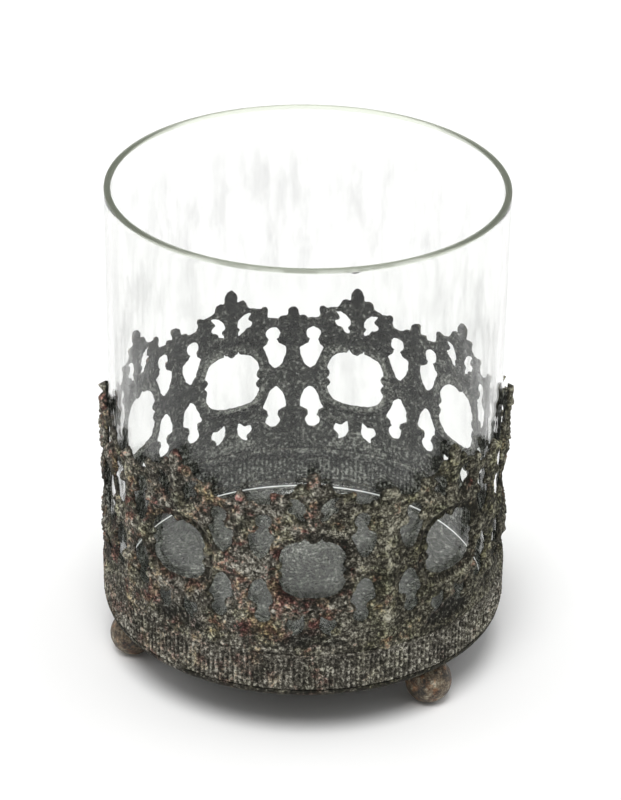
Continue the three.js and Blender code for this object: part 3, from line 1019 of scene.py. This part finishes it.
def make_weld(number, finish):
    """A lumpy weld collar between a ball and the pan."""
    low, high = low_mm(f"foot_weld_{number}"), high_mm(f"foot_weld_{number}")
    middle = [(a + b) / 2 for a, b in zip(low, high)]
    radius = (high[0] - low[0]) / 2
    foot, top = low[2], high[2]
    profile = [(0, foot + 0.45), (radius * 0.4, foot + 0.35), (radius * 0.72, foot + 0.05)]
    profile += [(radius * 0.86, foot + 0.12), (radius * 0.94, foot + 0.45), (radius, top - 0.1)]
    profile += [(radius * 0.9, top), (0, top)]
    piece = turned(f"weld_{number}", profile, 40)
    for vertex in piece.data.vertices:
        spot = vertex.co / MM
        turn = math.atan2(spot.y, spot.x)
        reach = math.hypot(spot.x, spot.y)
        swell = 1 + WELD_SWELL * math.sin(WELD_LOBES * turn + number) * min(1.0, reach / radius)
        vertex.co = Vector((spot.x * swell + middle[0], spot.y * swell + middle[1], spot.z)) * MM
    piece.data.materials.append(finish)
    return piece


# ------------------------------------------------------------------ studio and camera

CAMERA_DISTANCE = 0.8872
CAMERA_ELEVATION = 27.99
CAMERA_AIM_HEIGHT = GLASS_FOOT * MM + 0.0695
CAMERA_PAN, CAMERA_TILT, CAMERA_ROLL = -0.103, -0.207, -0.741
LENS_OVER_FRAME = 3.637       # focal length over the frame's long side
SENSOR = 36.0

FLOOR_HALF = 3.0              # metres
LAMP_SIZE = 1.0
KEY_HEADING, KEY_SPREAD, KEY_STRENGTH = (0.10, 0.58, -1.35), 30, 2.03


def make_camera():
    data = bpy.data.cameras.new("camera")
    data.sensor_width = SENSOR
    data.lens = LENS_OVER_FRAME * SENSOR
    data.clip_start, data.clip_end = 0.02, 20
    camera = bpy.data.objects.new("camera", data)
    bpy.context.scene.collection.objects.link(camera)
    slope = math.radians(CAMERA_ELEVATION)
    back = Vector((0, -math.cos(slope), math.sin(slope)))
    ahead = -back
    right = Vector((1, 0, 0))
    up = right.cross(ahead)
    pan = Matrix.Rotation(math.radians(CAMERA_PAN), 3, up)
    ahead, right = pan @ ahead, pan @ right
    tilt = Matrix.Rotation(math.radians(CAMERA_TILT), 3, right)
    ahead, up = tilt @ ahead, tilt @ up
    roll = Matrix.Rotation(math.radians(CAMERA_ROLL), 3, ahead)
    right, up = roll @ right, roll @ up
    turn = Matrix((right, up, -ahead)).transposed().to_4x4()
    place = Matrix.Translation(Vector((0, 0, CAMERA_AIM_HEIGHT)) + back * CAMERA_DISTANCE)
    camera.matrix_world = place @ turn
    bpy.context.scene.camera = camera


def make_area_light(name, place, aim, size, power):
    data = bpy.data.lights.new(name, "AREA")
    data.shape = "SQUARE"
    data.size = size
    data.energy = power
    lamp = bpy.data.objects.new(name, data)
    bpy.context.scene.collection.objects.link(lamp)
    direction = Vector(aim) - Vector(place)
    lamp.location = place
    lamp.rotation_euler = direction.to_track_quat("-Z", "Y").to_euler()


def make_sun(name, heading, spread, strength):
    """Even light from one side, as softened as a lamp that looks spread degrees wide."""
    data = bpy.data.lights.new(name, "SUN")
    data.energy = strength
    data.angle = math.radians(spread)
    lamp = bpy.data.objects.new(name, data)
    bpy.context.scene.collection.objects.link(lamp)
    lamp.rotation_euler = Vector(heading).to_track_quat("-Z", "Y").to_euler()


def make_studio():
    bpy.context.scene.view_settings.view_transform = "Standard"
    world = bpy.data.worlds.new("studio")
    world.use_nodes = True
    graph = Graph(world.node_tree)
    direction = graph.add("ShaderNodeTexCoord", out="Generated")
    _, _, climb = graph.axes(direction)
    # pale at the horizon so that the floor's far edge shows only faintly, dim low down, pale overhead
    horizon, low_sky, overhead = rgb(0.78, 0.78, 0.78), rgb(0.12, 0.12, 0.12), rgb(0.74, 0.74, 0.74)
    sky = graph.ramp(climb, [
        (0.0, horizon), (0.13, horizon), (0.20, low_sky), (0.32, low_sky), (0.80, overhead),
    ])
    background = graph.add("ShaderNodeBackground", None, {"Color": sky, "Strength": 1.0})
    graph.add("ShaderNodeOutputWorld", None, {"Surface": background}, out=None)
    bpy.context.scene.world = world
    half = FLOOR_HALF / MM
    corners = [(-half, -half, 0), (half, -half, 0), (half, half, 0), (-half, half, 0)]
    floor = new_object("floor", corners, [(0, 1, 2, 3)])
    floor.data.materials.append(floor_paper("floor_paper"))
    aim = (0, 0, 0.06)
    for name, side, power in (("left", -1.15, 2.0), ("right", 1.15, 2.2)):
        make_area_light(name, (side, 0.15, 0.95), aim, LAMP_SIZE, power)
    make_sun("key", KEY_HEADING, KEY_SPREAD, KEY_STRENGTH)


# ------------------------------------------------------------------ the whole holder

make_camera()
make_studio()

patina = brushed_patina("brushed_patina", cream=0.013, rust=0.9, moss=0.75)
ribbed_patina = brushed_patina("ribbed_patina", cream=0.010, rust=0.6, moss=0.3, right_side_painted_shade=0.0)
pan_finish = brushed_patina("pan_patina_and_grey", cream=-0.03, rust=0.4, moss=0.5, inside=inside_pan)
brown = ball_finish("brown_ball_wash")
weld_dark = weld_finish("painted_weld")
glass_clear = clear_glass("clear_glass")

lace = make_lace(patina)
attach(lace, "base")
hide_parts("lace_band")

band = make_ribbed_band(ribbed_patina)
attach(band, "base")
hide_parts("ribbed_band")

pan = make_pan(pan_finish)
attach(pan, "base")
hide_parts("base_pan")

glass = make_glass(glass_clear)
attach(glass, "glass")
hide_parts("glass_cylinder")

# painted highlight: a milky-white ring in the glass's inner corner
glass_line = make_glass_line(painted_highlight_white("painted_highlight_white"))
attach(glass_line, "glass")

for number in range(1, FOOT_COUNT + 1):
    ball = make_ball(number, brown)
    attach(ball, "base")
    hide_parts(f"ball_foot_{number}")
    collar = make_weld(number, weld_dark)
    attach(collar, "base")
    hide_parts(f"foot_weld_{number}")
